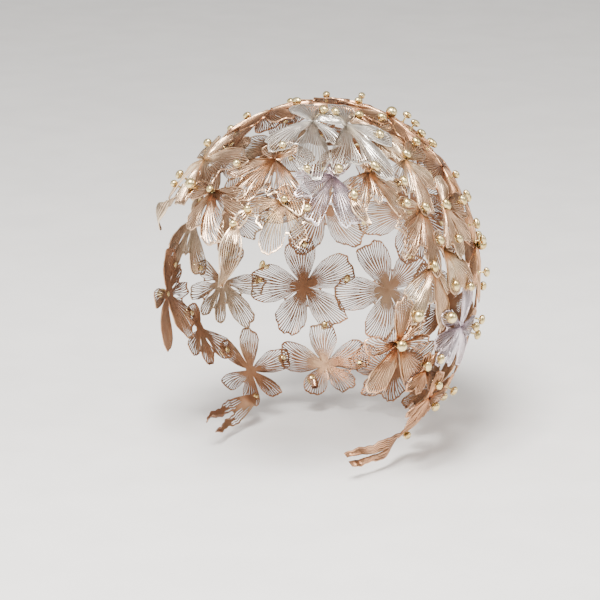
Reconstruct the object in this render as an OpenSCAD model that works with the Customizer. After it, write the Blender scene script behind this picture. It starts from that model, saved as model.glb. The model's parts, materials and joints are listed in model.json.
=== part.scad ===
// Bridal floral cap: pierced sheet-metal flowers formed over a head and riveted together with beads.
// Frame: origin at the centre of the head form, +Z up, the face looks along -Y, the wearer's left is +X.
// A place on the head is an azimuth (0 at the face, 90 at the left ear) and an elevation, in degrees.

/* [Head form] */
// Half the head's width over the ears, at the inner side of the lowest sheet
head_half_width = 77; // [74:0.5:80]
// Half the head's length, brow to back
head_half_length = 97; // [94:0.5:100]
// Half the height of the head form
head_half_height = 94; // [91:0.5:97]

/* [Sheet] */
// Thickness of the pierced sheet
sheet = 0.5; // [0.4:0.05:0.55]
// Air between two sheets that overlap
sheet_gap = 0.15; // [0.12:0.01:0.2]
// Radius of the solid throat where a flower's petals meet
throat_r = 3.2; // [2.8:0.1:3.6]
// Height of the waves along a petal's rim, as a share of its length
rim_wave = 0.03; // [0:0.01:0.05]
// Width of the solid rim outside the slits
rim_w = 1.8; // [1.4:0.1:2.4]
// Half width of a slit at its outer end
slit_half_w = 0.45; // [0.3:0.05:0.6]
// How widely the petals fan out, as a factor on their half angles
petal_spread = 1.2; // [1.1:0.05:1.25]

/* [Rivets and beads] */
// Radius of every rivet pin
pin_r = 0.6; // [0.5:0.05:0.7]
// Radial play of a pin in the sheets
pin_play = 0.05; // [0.03:0.01:0.08]
// Radius of the large beads at flower centres
centre_bead_r = 2.8; // [2.4:0.1:3.2]
// Radius of the beads that join two sheets
joint_bead_r = 1.9; // [1.6:0.1:2.2]
// Radius of the bud beads on wires
bud_bead_r = 1.7; // [1.4:0.1:2]
// Height of a bud bead's centre above the sheets
bud_height = 4.5; // [3.5:0.5:6]
// Radius of the tail disc on the inner side
tail_r = 1.4; // [1.2:0.1:1.6]
// Thickness of the tail disc
tail_t = 0.4; // [0.3:0.05:0.5]

/* [Hair loops] */
// Radius of the bore that a hairpin slides through
loop_bore_r = 1.2; // [1:0.1:1.4]
// Wall of the loop's tube
loop_wall = 0.7; // [0.5:0.1:0.9]
// Length of the loop's tube
loop_length = 4; // [3:0.5:5]

/* [Hidden] */
// From one level of sheets to the next
pitch = sheet + sheet_gap;
collar_r = 2 * pin_r;
// Air between a rivet's shoulders and the sheets that it clamps
air = 0.05;
// Straight pieces in the outline of a petal, and in one edge of a leaf
petal_steps = 12;
leaf_steps = 14;
// How deep the cut of an outline goes into the head form, and how far above it the cut starts
plate_depth = 14;
plate_rise = 10;
// A place this far below a flower's own plane lies round the back of the head
far_side = 35;
// Radius of the boss round a leaf's rivet
leaf_boss_r = 2.2;
// Clear sheet that a hole needs beside a pin
hole_margin = pin_r + 0.2;
// Clear space that a bead keeps round itself
bead_margin = 0.4;
// From a loop's rivet to its tube, beyond the tail disc, and how deep the tube sits in its tab
loop_neck = 1.6;
loop_seat = 0.15;
// Facets round the head form under a loop's tab, where its tube has to meet it closely
loop_facets = 240;

// A petal is [direction, length, half angle]; directions run anticlockwise from the wearer's left.
// A flower is [name, azimuth, elevation, level, tone, petals]; level 0 lies nearest the head.
FLOWERS = [
    // front, from the wearer's right temple to the left
    ["right_temple_flower", -38, 49, 3, "rose",
        [[-126, 33, 20], [-54, 29, 22], [-5, 26, 15], [30, 32, 20], [100, 20, 24], [165, 28, 26]]],
    ["brow_flower", -11, 42, 2, "rose",
        [[-96, 22, 21], [-55, 30, 20], [-14, 27, 13], [13, 19, 15], [188, 18, 26]]],
    ["hairline_flower", 17, 57, 1, "rose",
        [[-160, 25, 18], [-120, 29, 20], [-87, 22, 13], [-60, 31, 17], [60, 14, 30], [130, 12, 24]]],
    ["forehead_flower", 28, 42, 0, "rose",
        [[-170, 20, 22], [-138, 18, 13], [-107, 28, 19], [-67, 23, 16], [-28, 20, 18], [80, 10, 40]]],
    ["left_brow_flower", 51, 50, 2, "lilac",
        [[-188, 19, 12], [-160, 22, 15], [-128, 29, 14], [-84, 28, 22], [60, 9, 50]]],
    ["left_temple_flower", 71, 50, 0, "rose",
        [[-158, 17, 14], [-130, 25, 14], [-98, 18, 13], [-68, 28, 14], [-37, 20, 16], [70, 9, 50]]],
    // crown
    ["crown_front_flower", 38, 75, 3, "silver",
        [[-142, 31, 20], [-98, 40, 18], [-60, 22, 16], [30, 20, 26], [100, 22, 30]]],
    ["crown_left_flower", 72, 70, 4, "silver",
        [[-132, 34, 13], [-111, 28, 10], [-86, 37, 14], [-40, 24, 24], [60, 22, 28], [130, 14, 24]]],
    ["crown_side_flower", 97, 64, 1, "rose",
        [[-135, 22, 18], [-98, 24, 18], [-55, 24, 20], [20, 20, 28], [110, 20, 28]]],
    ["crown_top_flower", 150, 84, 0, "copper",
        [[-140, 26, 28], [-70, 26, 30], [0, 26, 28], [72, 26, 30], [145, 26, 30]]],
    ["crown_right_flower", -72, 73, 2, "copper",
        [[-110, 24, 24], [-55, 25, 24], [-12, 26, 18], [35, 27, 22], [100, 22, 28], [170, 24, 28]]],
    ["crown_right_side_flower", -97, 60, 1, "copper",
        [[-140, 25, 26], [-75, 26, 26], [-5, 27, 28], [75, 20, 28], [150, 24, 26]]],
    // left side, from the temple down past the ear
    ["left_upper_flower", 95, 50, 3, "rose",
        [[-160, 18, 16], [-132, 22, 15], [-101, 31, 16], [-62, 22, 20], [10, 22, 26], [100, 16, 26]]],
    ["left_ear_top_flower", 90, 33, 2, "rose",
        [[-168, 24, 16], [-141, 30, 14], [-119, 21, 11], [-98, 33, 13], [60, 12, 34], [155, 18, 16]]],
    ["left_rear_flower", 101, 31, 4, "rose",
        [[-114, 22, 14], [-84, 28, 16], [-52, 27, 16], [-12, 28, 22], [50, 18, 26]]],
    ["left_ear_front_flower", 87, 15, 1, "rose",
        [[-154, 24, 15], [-126, 31, 13], [-103, 19, 10], [-77, 34, 15], [-45, 22, 15], [90, 11, 34]]],
    ["left_ear_rear_flower", 93, 19, 3, "rose",
        [[-74, 26, 16], [-45, 35, 16], [8, 20, 24], [110, 10, 34]]],
    ["left_ear_flower", 71, -6, 0, "copper",
        [[-118, 28, 23], [-52, 33, 22], [-9, 23, 16], [30, 20, 18], [76, 24, 24], [174, 20, 23]]],
    ["left_mastoid_flower", 102, -8, 2, "lilac",
        [[-174, 27, 14], [-144, 26, 14], [-108, 21, 16], [-62, 28, 20], [-15, 26, 18], [66, 24, 26],
         [152, 24, 15]]],
    ["left_lobe_flower", 85, -18, 1, "copper",
        [[-142, 15, 26], [-90, 14, 22], [-42, 24, 18], [30, 12, 22], [95, 10, 30]]],
    ["left_jaw_flower", 92, -30, 3, "copper",
        [[-150, 17, 16], [-116, 18, 16], [-75, 18, 20], [-22, 24, 22], [80, 16, 28]]],
    ["left_nape_flower", 107, -42, 1, "copper",
        [[-165, 22, 18], [-120, 20, 20], [-60, 20, 24], [5, 26, 22], [65, 24, 22], [125, 18, 22]]],
    // right side, the pair of the left with its own petals
    ["right_upper_flower", -72, 51, 0, "rose",
        [[-146, 24, 16], [-110, 20, 17], [-70, 22, 18], [-28, 18, 18], [15, 20, 18], [165, 20, 26]]],
    ["right_side_flower", -92, 36, 2, "rose",
        [[-150, 26, 20], [-102, 28, 17], [-68, 26, 14], [-36, 30, 15], [70, 18, 30], [140, 20, 28]]],
    ["right_ear_front_flower", -87, 15, 1, "rose",
        [[-104, 34, 15], [-77, 20, 11], [-54, 31, 13], [-26, 25, 15], [90, 14, 34]]],
    ["right_ear_rear_flower", -103, 14, 3, "rose",
        [[-146, 30, 20], [-98, 28, 19], [100, 20, 28], [172, 33, 24]]],
    ["right_ear_flower", -71, -6, 0, "copper",
        [[-62, 28, 23], [-128, 31, 22], [-171, 23, 16], [150, 20, 18], [104, 24, 24], [6, 20, 23]]],
    ["right_mastoid_flower", -102, -10, 2, "rose",
        [[-2, 26, 15], [-36, 23, 15], [-72, 22, 16], [-118, 28, 20], [-165, 28, 18], [120, 22, 28],
         [38, 23, 17]]],
    ["right_lobe_flower", -87, -22, 1, "copper",
        [[-38, 17, 26], [-88, 20, 20], [-132, 26, 20], [76, 14, 34]]],
    ["right_nape_flower", -106, -41, 3, "copper",
        [[-12, 22, 18], [-62, 22, 20], [-120, 20, 22], [175, 25, 22], [110, 24, 22], [56, 23, 18]]],
    // back, row by row from the crown to the nape
    ["back_top_left_flower", 140, 64, 2, "copper",
        [[-150, 27, 30], [-75, 28, 30], [0, 26, 28], [70, 27, 28], [140, 24, 28]]],
    ["back_top_right_flower", -145, 64, 3, "copper",
        [[-120, 28, 30], [-45, 28, 28], [25, 26, 28], [95, 27, 30], [170, 26, 30]]],
    ["back_upper_left_flower", 128, 40, 0, "copper",
        [[-130, 29, 30], [-58, 28, 28], [15, 27, 30], [85, 28, 28], [155, 29, 28]]],
    ["back_upper_centre_flower", 165, 38, 1, "copper",
        [[-160, 28, 28], [-90, 30, 30], [-20, 28, 28], [52, 29, 30], [125, 29, 30]]],
    ["back_upper_right_flower", -157, 37, 0, "copper",
        [[-115, 29, 30], [-45, 29, 28], [30, 27, 30], [100, 28, 28], [175, 29, 30]]],
    ["back_right_side_flower", -123, 37, 4, "rose",
        [[-135, 27, 28], [-65, 28, 28], [5, 29, 30], [75, 25, 28], [150, 28, 30]]],
    ["back_middle_left_flower", 124, 12, 1, "copper",
        [[-150, 28, 28], [-80, 31, 30], [-5, 28, 28], [65, 28, 28], [135, 28, 28]]],
    ["back_middle_centre_flower", 154, 10, 0, "copper",
        [[-125, 29, 30], [-50, 29, 30], [20, 29, 28], [90, 28, 28], [165, 29, 30]]],
    ["back_middle_right_flower", -175, 10, 2, "copper",
        [[-160, 29, 30], [-88, 29, 28], [-15, 31, 30], [55, 29, 28], [128, 29, 28]]],
    ["back_middle_far_flower", -141, 11, 1, "copper",
        [[-135, 29, 30], [-60, 28, 30], [8, 35, 28], [80, 28, 28], [152, 28, 28]]],
    ["back_lower_left_flower", 131, -17, 0, "copper",
        [[-140, 28, 30], [-65, 28, 30], [5, 28, 28], [85, 28, 28], [158, 28, 28]]],
    ["back_lower_centre_flower", 162, -17, 1, "copper",
        [[-120, 28, 30], [-48, 29, 28], [25, 28, 30], [98, 28, 28], [170, 29, 28]]],
    ["back_lower_right_flower", -167, -17, 0, "copper",
        [[-155, 29, 28], [-85, 28, 28], [-12, 29, 30], [62, 28, 28], [132, 28, 28]]],
    ["back_lower_far_flower", -134, -16, 3, "copper",
        [[-130, 28, 28], [-60, 28, 28], [10, 31, 30], [85, 28, 28], [158, 29, 28]]],
    ["nape_left_flower", 143, -43, 2, "copper",
        [[-125, 20, 28], [-55, 20, 28], [15, 26, 30], [90, 24, 28], [165, 26, 30]]],
    ["nape_centre_flower", 180, -43, 3, "copper",
        [[-115, 20, 28], [-60, 20, 28], [5, 26, 30], [75, 25, 28], [140, 25, 28], [195, 25, 24]]],
    ["nape_right_flower", -143, -43, 2, "copper",
        [[-130, 20, 28], [-60, 20, 28], [15, 26, 30], [90, 24, 28], [165, 26, 30]]],
];

// A leaf is a single petal on one rivet: [name, azimuth, elevation, level, tone, direction, length,
// width, bend]; the bend is how far its tip turns off its direction.
LEAVES = [
    ["brow_sprig", 13, 38, 3, "rose", -122, 14, 6.5, 6],
    ["left_temple_leaf", 58, 42, 3, "rose", -88, 18, 7, 22],
    ["forehead_pendant", 9, 33, 4, "rose", -84, 31, 12, -6],
    ["right_temple_pendant", -50, 36, 0, "rose", -84, 26, 12, -16],
    ["left_nape_spray", 101, -51, 0, "copper", 192, 44, 12, 0],
    ["right_nape_spray", -101, -51, 0, "copper", -12, 44, 12, 0],
];

// A rivet is [azimuth, elevation]; it goes through every sheet that lies there.
CENTRE_RIVETS = [
    [-25, 41], [71, -6], [-71, -6], [77, 2], [92, -2], [-77, 2], [-92, -3],
    [162, -17], [-175, 10], [124, 12], [-157, 37], [-123, 37], [140, 64],
];
JOINT_RIVETS = [
    // front and temples
    [-11, 42], [-56, 38], [-50, 36], [-4, 52], [19, 61], [37, 52], [53, 51], [72, 50], [38, 39],
    [58, 42], [28, 42], [13, 38], [9, 33], [-58, 51],
    // left side
    [84, 43], [81, 36], [96, 51], [89, 33], [101, 31], [86, 15], [95, 7], [105, 4], [84, -16],
    [90, -15], [93, -25], [101, -36], [101, -51], [91, 22], [101, 20],
    // right side
    [-87, 44], [-80, 54], [-91, 45], [-87, 22], [-104, 33], [-84, -16], [-97, -32], [-104, -1],
    [-117, -12], [-101, -51], [-123, -39], [-121, 13],
    // crown
    [70, 77], [56, 80], [89, 61], [100, 73], [117, 67], [-73, 83], [-80, 62], [-118, 65], [158, 74],
    [-153, 76],
    // back
    [113, 53], [136, 52], [148, 45], [-176, 35], [-159, 51], [-121, 51], [-140, 42], [115, 29],
    [132, 26], [159, 23], [-165, 23], [-141, 26], [139, 11], [168, 9], [-156, 5], [130, -3],
    [161, -3], [-175, -5], [-134, -2], [146, -17], [177, -23], [-150, -14], [139, -31], [125, -40],
    [161, -43], [-160, -42], [-142, -29], [116, -12], [136, -48], [-136, -48],
];
BUD_RIVETS = [
    [150, 57], [134, 56], [128, 48], [124, 36], [123, 29], [119, 20], [122, 14], [121, 4], [121, -11],
    [118, -15], [113, -33], [-130, 56], [-128, 30], [-124, 8], [-120, -8], [172, 70], [168, 28],
];

// The hair loops sit under these joint rivets.
LOOP_RIVETS = [[-56, 38], [58, 42], [136, -48], [-136, -48]];

TONES = [
    ["rose", [0.80, 0.60, 0.48]],
    ["copper", [0.66, 0.44, 0.31]],
    ["silver", [0.88, 0.86, 0.80]],
    ["lilac", [0.74, 0.66, 0.68]],
];
gold = [0.85, 0.74, 0.48];
wire = [0.62, 0.42, 0.30];

// The ellipsoid of the head form, and places on it

function on_head(az, el) = [
    head_half_width * sin(az) * cos(el),
    -head_half_length * cos(az) * cos(el),
    head_half_height * sin(el)
];
function normal_azimuth(az) = atan2(sin(az) / head_half_width, cos(az) / head_half_length);
function normal_elevation(az, el) = atan2(
    sin(el) / head_half_height,
    cos(el) * norm([sin(az) / head_half_width, cos(az) / head_half_length])
);
function turn_within(a) = a - 360 * round(a / 360);
function polar(r, a) = [r * cos(a), r * sin(a)];

// Children stand on the head at (az, el): +Z along the outward normal, +Y up the head, +X to its left.
module on_surface(az, el) {
    translate(on_head(az, el))
        rotate([0, 0, normal_azimuth(az)])
            rotate([90 - normal_elevation(az, el), 0, 0])
                children();
}

// Where another place on the head lies in the frame of (az, el): [x, y, height]
function seen_from(az, el, place) =
    let (
        d = on_head(place[0], place[1]) - on_head(az, el),
        a = normal_azimuth(az),
        e = normal_elevation(az, el)
    ) [
        d * [cos(a), sin(a), 0],
        d * [-sin(e) * sin(a), sin(e) * cos(a), cos(e)],
        d * [cos(e) * sin(a), -cos(e) * cos(a), sin(e)]
    ];

module head_form(grow, facets) {
    scale([head_half_width + grow, head_half_length + grow, head_half_height + grow] / 100)
        sphere(r = 100, $fn = facets);
}

// The formed sheet of one level, cut to the flat outline that the children draw
module formed_sheet(az, el, level, facets = 96) {
    difference() {
        intersection() {
            head_form(level * pitch + sheet, facets);
            on_surface(az, el)
                translate([0, 0, -plate_depth])
                    linear_extrude(plate_depth + plate_rise)
                        children();
        }
        head_form(level * pitch, facets);
    }
}

// Petals: how far a petal reaches in the direction a, and the outline of a whole flower

function reach(petal, a) =
    let (x = turn_within(a - petal[0]) / (petal[2] * petal_spread))
    abs(x) >= 1 ? throat_r :
    throat_r + (petal[1] - throat_r) * sqrt(1 - pow(abs(x), 2.4))
        * (1 + rim_wave * sin(450 * x + 40 * petal[0]));
function flower_reach(petals, a) = max([for (p = petals) reach(p, a)]);
function sorted(petals) =
    len(petals) < 2 ? petals :
    let (
        first = min([for (p = petals) (p[0] + 720) % 360]),
        rest = [for (p = petals) if ((p[0] + 720) % 360 > first) p]
    ) concat([for (p = petals) if ((p[0] + 720) % 360 == first) [first, p[1], p[2]]], sorted(rest));

// Petals that meet share the ray halfway across their overlap.
function far_ray(petal, next) =
    let (
        own = petal[0] + petal[2] * petal_spread,
        gap = turn_within(next[0] - next[2] * petal_spread - own)
    ) own + min(gap, 0) / 2;
function near_ray(petal, last) =
    let (
        own = petal[0] - petal[2] * petal_spread,
        gap = turn_within(own - last[0] - last[2] * petal_spread)
    ) own - min(gap, 0) / 2;
function flower_outline(petals) =
    let (ring = sorted(petals), n = len(ring))
    [
        for (i = [0 : n - 1])
            let (
                start = near_ray(ring[i], ring[(i + n - 1) % n]),
                end = far_ray(ring[i], ring[(i + 1) % n])
            )
            for (k = [0 : petal_steps])
                let (a = start + (end - start) * (1 - cos(180 * k / petal_steps)) / 2)
                polar(reach(ring[i], a), a)
    ];

// Tapering slits between the veins of one petal
module vein_slits(petal) {
    for (x = [-0.55, 0, 0.55]) {
        a = petal[0] + x * petal[2];
        inner = 0.42 * petal[1];
        outer = reach(petal, a) - rim_w;
        if (outer > inner + 2)
            rotate(a)
                polygon([
                    [inner, -slit_half_w / 4], [outer, -slit_half_w],
                    [outer, slit_half_w], [inner, slit_half_w / 4]
                ]);
    }
}

// Leaves: half the width at the share s of the length, and the outline

function leaf_half_width(width, s) = width / 2 * (0.22 + 0.78 * pow(max(0, sin(180 * pow(s, 0.8))), 1.3));
function leaf_direction(leaf, s) = leaf[5] + leaf[8] * s * s;
function leaf_edge(leaf, side) = [
    for (k = [0 : leaf_steps])
        let (s = k / leaf_steps, a = leaf_direction(leaf, s))
        polar(leaf[6] * s, a) + side * polar(leaf_half_width(leaf[7], s), a + 90)
];
function backwards(points) = [for (i = [len(points) - 1 : -1 : 0]) points[i]];

module leaf_slits(leaf) {
    for (x = [-0.45, 0.45]) {
        shares = [0.3, 0.4, 0.5, 0.6];
        centre = [
            for (s = shares)
                let (a = leaf_direction(leaf, s))
                polar(leaf[6] * s, a) + x * polar(leaf_half_width(leaf[7], s), a + 90)
        ];
        polygon([
            centre[0] - polar(slit_half_w / 2, leaf[5] + 90), centre[1] - polar(slit_half_w, leaf[5] + 90),
            centre[2] - polar(slit_half_w, leaf[5] + 90), centre[3] - polar(slit_half_w / 2, leaf[5] + 90),
            centre[3] + polar(slit_half_w / 2, leaf[5] + 90), centre[2] + polar(slit_half_w, leaf[5] + 90),
            centre[1] + polar(slit_half_w, leaf[5] + 90), centre[0] + polar(slit_half_w / 2, leaf[5] + 90)
        ]);
    }
}

// Which sheets lie at a place on the head

function flower_covers(f, place, margin) =
    let (p = seen_from(f[1], f[2], place), r = norm([p[0], p[1]]))
    p[2] > -far_side && r < flower_reach(f[5], atan2(p[1], p[0])) + margin;
function leaf_covers(leaf, place, margin) =
    let (
        p = seen_from(leaf[1], leaf[2], place),
        r = norm([p[0], p[1]]),
        s = min(1, r / leaf[6]),
        aside = turn_within(atan2(p[1], p[0]) - leaf_direction(leaf, s)) * PI / 180 * r,
        on_blade = r < leaf[6] + margin && abs(aside) < leaf_half_width(leaf[7], s) + margin
    ) p[2] > -far_side && (on_blade || r < leaf_boss_r + margin);
function levels_at(place, margin) = concat(
    [for (f = FLOWERS) if (flower_covers(f, place, margin)) f[3]],
    [for (l = LEAVES) if (leaf_covers(l, place, margin)) l[3]]
);
function lowest(levels) = len(levels) == 0 ? 0 : min(levels);
function highest(levels) = len(levels) == 0 ? 0 : max(levels);
function carries_loop(place) = len([for (p = LOOP_RIVETS) if (p == place) p]) > 0;
ALL_RIVETS = concat(CENTRE_RIVETS, JOINT_RIVETS, BUD_RIVETS);

module pin_bore(place) {
    on_surface(place[0], place[1])
        translate([0, 0, -6])
            cylinder(r = pin_r + pin_play, h = 14, $fn = 32);
}

// The parts

function tone(name) = [for (t = TONES) if (t[0] == name) t[1]][0];

module flower(f) {
    color(tone(f[4]))
        difference() {
            formed_sheet(f[1], f[2], f[3])
                difference() {
                    polygon(flower_outline(f[5]));
                    for (petal = f[5])
                        vein_slits(petal);
                }
            for (place = ALL_RIVETS)
                if (flower_covers(f, place, hole_margin))
                    pin_bore(place);
        }
}

module leaf(l) {
    color(tone(l[4]))
        difference() {
            formed_sheet(l[1], l[2], l[3])
                difference() {
                    union() {
                        circle(r = leaf_boss_r, $fn = 32);
                        polygon(concat(leaf_edge(l, -1), backwards(leaf_edge(l, 1))));
                    }
                    leaf_slits(l);
                }
            for (place = ALL_RIVETS)
                if (leaf_covers(l, place, hole_margin))
                    pin_bore(place);
        }
}

// A tail disc inside, a pin through the sheets, and a bead on a post outside
module rivet(place, bead_r, bead_height) {
    levels = levels_at(place, bead_r + bead_margin);
    bottom = (carries_loop(place) ? -1 : lowest(levels)) * pitch - air;
    top = highest(levels) * pitch + sheet + air;
    on_surface(place[0], place[1]) {
        translate([0, 0, bottom - tail_t])
            cylinder(r = tail_r, h = tail_t, $fn = 32);
        translate([0, 0, bottom - tail_t / 2])
            cylinder(r = pin_r, h = top + bead_height - bottom, $fn = 32);
        translate([0, 0, top])
            cylinder(r = collar_r, h = bead_r / 2, $fn = 32);
        translate([0, 0, top + bead_height])
            sphere(r = bead_r, $fn = 48);
    }
}

module centre_beads() {
    color(gold)
        for (place = CENTRE_RIVETS)
            rivet(place, centre_bead_r, centre_bead_r);
}

module joint_beads() {
    color(gold)
        for (place = JOINT_RIVETS)
            rivet(place, joint_bead_r, joint_bead_r);
}

module bud_stamens() {
    color(gold)
        for (place = BUD_RIVETS)
            rivet(place, bud_bead_r, bud_height);
}

// A tube for a hairpin on a tab that its rivet clamps under the flowers
module hair_loop(place) {
    tube_start = tail_r + loop_neck;
    tube_r = loop_bore_r + loop_wall;
    difference() {
        union() {
            formed_sheet(place[0], place[1], -1, loop_facets) {
                circle(r = tail_r + 0.8, $fn = 32);
                translate([-tail_r, -tube_start - loop_length])
                    square([2 * tail_r, tube_start + loop_length]);
            }
            on_surface(place[0], place[1])
                translate([0, -tube_start, -pitch - tube_r + loop_seat])
                    rotate([90, 0, 0])
                        cylinder(r = tube_r, h = loop_length, $fn = 96);
        }
        on_surface(place[0], place[1])
            translate([0, -tube_start + 1, -pitch - tube_r + loop_seat])
                rotate([90, 0, 0])
                    cylinder(r = loop_bore_r, h = loop_length + 2, $fn = 96);
        pin_bore(place);
    }
}

module hair_loops() {
    color(wire)
        for (place = LOOP_RIVETS)
            hair_loop(place);
}

for (f = FLOWERS)
    flower(f);
for (l = LEAVES)
    leaf(l);
centre_beads();
joint_beads();
bud_stamens();
hair_loops();
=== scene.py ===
"""Looks of the bridal floral cap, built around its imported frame. Every length is in metres."""
import json
import math
from collections import namedtuple

import bpy
import numpy as np
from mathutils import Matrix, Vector


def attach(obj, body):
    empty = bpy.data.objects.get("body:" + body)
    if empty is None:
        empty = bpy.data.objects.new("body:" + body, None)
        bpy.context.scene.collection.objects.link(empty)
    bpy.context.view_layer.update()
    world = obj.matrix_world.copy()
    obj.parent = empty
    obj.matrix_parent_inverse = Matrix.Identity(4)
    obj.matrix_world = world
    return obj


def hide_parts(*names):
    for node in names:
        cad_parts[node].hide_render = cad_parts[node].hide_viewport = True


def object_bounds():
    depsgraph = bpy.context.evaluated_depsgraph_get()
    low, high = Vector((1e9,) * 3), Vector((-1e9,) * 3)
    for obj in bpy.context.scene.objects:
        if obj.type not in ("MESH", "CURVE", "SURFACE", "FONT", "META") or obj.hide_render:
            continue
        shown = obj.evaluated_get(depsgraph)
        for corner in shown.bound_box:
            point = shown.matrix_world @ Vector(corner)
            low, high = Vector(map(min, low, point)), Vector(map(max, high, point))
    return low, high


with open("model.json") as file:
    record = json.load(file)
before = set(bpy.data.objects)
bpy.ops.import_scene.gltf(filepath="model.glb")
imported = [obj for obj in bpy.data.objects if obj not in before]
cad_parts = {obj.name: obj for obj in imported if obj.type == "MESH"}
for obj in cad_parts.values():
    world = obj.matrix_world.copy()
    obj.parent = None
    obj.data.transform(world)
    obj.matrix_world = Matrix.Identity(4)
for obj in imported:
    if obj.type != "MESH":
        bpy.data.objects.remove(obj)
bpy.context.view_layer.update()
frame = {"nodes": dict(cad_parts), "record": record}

MM = 0.001
TURN = 2 * math.pi
TINY = 1e-9
SEED = 100
SHARP_ANGLE = 50

# The head form that the sheets follow, and the thickness of a sheet
HEAD = np.array([77.0, 97.0, 94.0]) * MM
SHEET = 0.5 * MM

# Reading the nodes: how close two equal points lie, how far a sheet's walls may stray from their direction
# and how often that is sought, the rounds of Newton's method, and the points on each stretch of an outline
WELD = 0.002 * MM
WALL_STRAY = 0.03
WALL_ROUNDS = 3
NEWTON_ROUNDS = 5
EDGE_STEPS = 24

# Outlines are distances in SAMPLES directions, and FINENESS times as many along a petal's rim. A rivet's hole
# bites into one over HOLE_BITE directions. Two petals meet in a notch: the least distance for NOTCH_REACH
# directions on both sides, and shorter than the petals by NOTCH_DEPTH. Within BARE_RADIUS there is no petal
SAMPLES = 720
FINENESS = 4
HOLE_BITE = 6
NOTCH_REACH = 14
NOTCH_DEPTH = 0.07
BARE_RADIUS = 4.4 * MM

# Veins run from the throat to the rim, through these shares of the way
THROAT_START = 1.5 * MM
VEIN_PITCH = 1.55 * MM
VEIN_ROWS = np.array([0, 0.12, 0.24, 0.35, 0.45, 0.54, 0.63, 0.72, 0.81, 0.89, 0.95, 0.985, 1.0])
LAST_ROW = len(VEIN_ROWS) - 1
SPREAD = 0.75
SWIRL = 0.11

# The rim, and its rows as shares of its width, from the inside out
RIM = 0.7 * MM
RIM_ROWS = (0.6, 0.25, 0.0)

# Slits between the veins: the share of the pitch that they take, which is more near the throat for the long
# ones, where long and short ones start, how soon they reach their width, and what is left of it at the last
# two rows. There is none where a petal is shorter or the pitch is less than the last two values
SLIT_SHARE = 0.60
INNER_SHARE = 0.84
INNER_END = 0.45
INNER_FADE = 0.2
LONG_START = (0.10, 0.24)
SHORT_START = (0.45, 0.62)
SLIT_TAPER = 0.25
SLIT_PINCH = (0.8, 0.0)
SLIT_LEAST_REACH = 6 * MM
SLIT_LEAST_WIDTH = 0.24 * MM

# Grooves between the veins: half their width, which is no more than these shares of the pitch, the most that
# a slit or an eye takes of it on each side, the grooves' depth, and how far veins and the rim are raised
GROOVE = 0.06 * MM
GROOVE_SHARE = 0.22
LEAF_GROOVE_SHARE = 0.2
SLIT_MOST = 0.44
EYE_SLIT_MOST = 0.6
GROOVE_DEPTH = 0.11 * MM
CREST = 0.08 * MM
RIM_CREST = 0.10 * MM

# Eye-shaped openings where two petals meet: their size, the shares of the way between which they lie,
# how far they push the veins beside them away, and the distance from which they grow
EYE_SHARE = 0.050
EYE_MOST = 1.35 * MM
EYE_LEAST = 0.2 * MM
EYE_SIZES = (0.6, 1.15)
EYE_START = 0.22
EYE_LENGTH = 0.66
EYE_FIRST_ROW = 3
EYE_FADE = 2.6 * MM
EYE_FROM = 8 * MM
EYE_GROWTH = 6 * MM

# Scallops and pointed tips of the petals, as shares of their length, and how many scallops a petal has
SCALLOP = 0.028
SCALLOP_COUNT = (3.0, 5.0)
FINE_SCALLOP = 0.010
FINE_COUNT = (8, 12)
TIP_SHARE = 0.3
TIP = 0.07
TIP_WIDTH = 0.14
TIP_PLACE = (0.3, 0.7)

# Relief of the formed petals: a cup in the middle, waves towards the rim and a curl of the rim. A long petal
# has all of it, a short one less
CUP = 0.55 * MM
CUP_SIZES = (0.55, 1.0)
RUFFLE = 0.5 * MM
RUFFLE_START = 0.45
WAVES = (2, 5)
CURL = 0.35 * MM
FULL_RELIEF_LENGTH = 28 * MM
RELIEF_SIZES = (0.3, 1.2)

# A sheet stays flat under a higher one and beside a bead, and rises over these distances from them
COVER_FADE = 4.0 * MM
COVER_RANGE = 90 * MM
BEAD_CLEAR = 2.1 * MM
BEAD_FADE = 4.5 * MM
BEAD_RANGE = 60 * MM

# Relief marks, which the sheets' material reads: 0 in the deepest groove, 1 on a crest. Marks below about 0.7
# paint shade, the more the lower they are, and marks above it paint a highlight
GROOVE_MARK = 0.12
UNDERSIDE_MARK = 0.35
CREST_MARK = 0.95
RIM_MARK = 0.68
RIM_CREST_MARK = 0.82
LEAF_EDGE_MARK = 0.85
THROAT_MARKS = (0.6, 0.3)

# Single leaves: rows along a blade, its least half width, the pitch of its veins, between which shares of the
# length slits start, the least pitch that has one, and the bell that their width follows along the blade
LEAF_ROWS = 30
LEAF_TIP = 0.3 * MM
LEAF_PITCH = 1.7 * VEIN_PITCH
LEAF_SLIT_START = (0.20, 0.36)
LEAF_SLIT_PITCH = 0.4 * VEIN_PITCH
BELL_START = 0.18
BELL_LENGTH = 0.72

# Relief of the leaves: it grows from ROOT_START on, the bow keeps a share of itself at the edges, and the tip
# starts to bend at TIP_START. A hanging leaf stays clear of what it passes in this many steps of its swing
ROOT_START = 0.12
ROOT_FADE = 0.35
BOW_AT_EDGE = 0.4
TIP_START = 0.6
LEAF_RIPPLE = 0.4 * MM
RIPPLE_COUNT = 1.6
SWING_STEPS = 5

# A forked leaf: where it parts, half the width of a prong's end, and the ragged waves of a prong's outside
FORK_START = 0.42
PRONG_TIP = 0.5 * MM
PRONG_NARROWING = 0.15
PRONG_WAVES = ((0.10, 11), (0.06, 29))

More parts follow.
